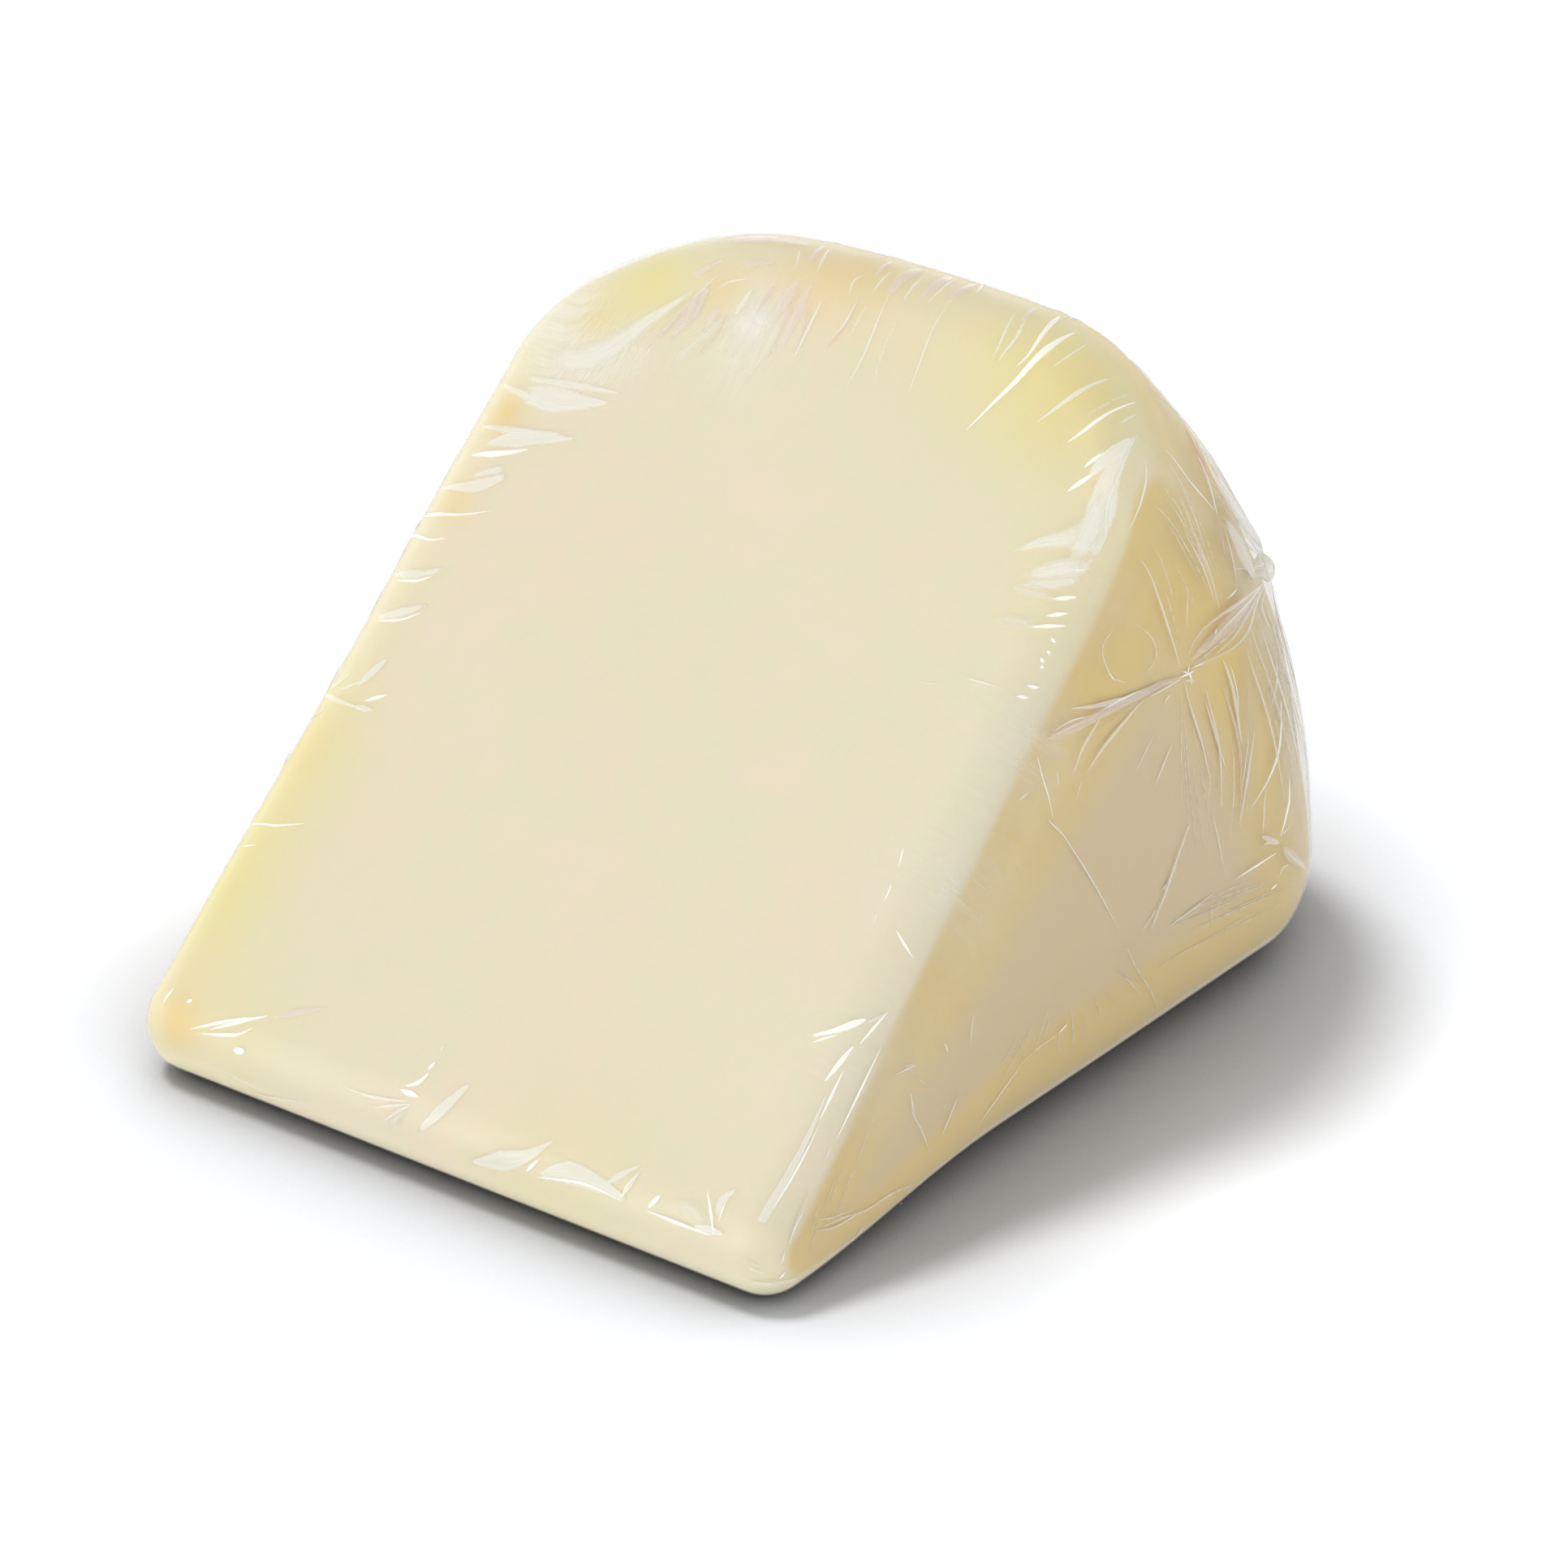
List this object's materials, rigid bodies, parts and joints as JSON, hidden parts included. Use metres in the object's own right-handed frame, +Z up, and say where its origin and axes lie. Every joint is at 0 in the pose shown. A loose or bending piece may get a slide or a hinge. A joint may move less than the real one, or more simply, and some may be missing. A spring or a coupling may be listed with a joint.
{
  "type": "wrapped cheese wedge",
  "caption": "Wedge of pale yellow semi-hard cheese in tight clear film, lying on one cut face, with its rounded rim at the back.",
  "frame": {"origin": "on the floor under the middle of the bounding box", "axes": "+Z up; +Y from the thin front edge to the rim; +X across the wedge, towards the side that carries the gathered end of the film"},
  "size_m": [0.0976, 0.127, 0.0868],
  "materials": {
    "wrapped_cheese": "pale yellow cheese seen through tight clear film, smooth and glossy, with fine folds at the edges",
    "clear_film": "thin clear stretch film, glossy, with tension folds and pleats"
  },
  "bodies": {
    "root": {"wrapped_wedge": "wrapped_cheese"}
  },
  "joints": []
}
